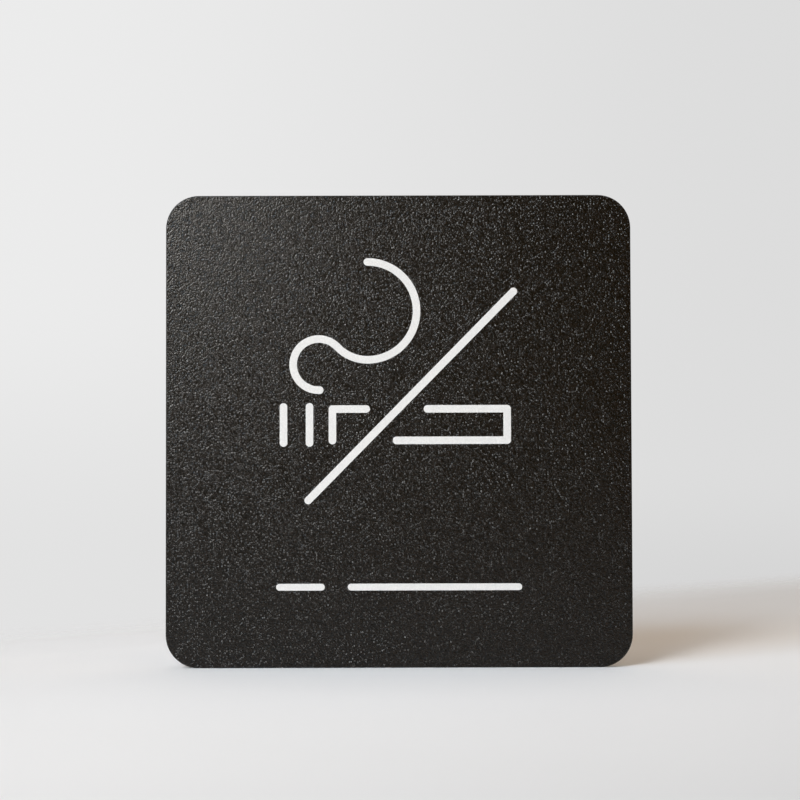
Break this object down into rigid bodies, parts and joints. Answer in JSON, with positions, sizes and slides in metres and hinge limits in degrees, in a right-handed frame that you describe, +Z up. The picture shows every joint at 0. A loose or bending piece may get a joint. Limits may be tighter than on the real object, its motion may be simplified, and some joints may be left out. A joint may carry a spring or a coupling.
{
  "type": "no smoking sign",
  "caption": "Flat matte black sign plate with rounded corners, fine sandy texture and a white line figure of a struck-out cigarette, fixed by its flat back to a door or wall.",
  "frame": {"origin": "centre of the plate's flat back face, which goes against the door or wall", "axes": "the front with the figure faces -Y, +Y is the back face's outward normal, +Z is up the figure and +X is to the viewer's right"},
  "size_m": [0.12, 0.0031, 0.1216],
  "materials": {
    "black_plastic": "matte, fine sandy texture",
    "white_print": "matte printed ink"
  },
  "bodies": {
    "root": {"plate": "black_plastic", "print_slash": "white_print", "print_smoke": "white_print", "print_ash": "white_print", "print_cigarette": "white_print", "print_caption_bars": "white_print"}
  },
  "joints": []
}
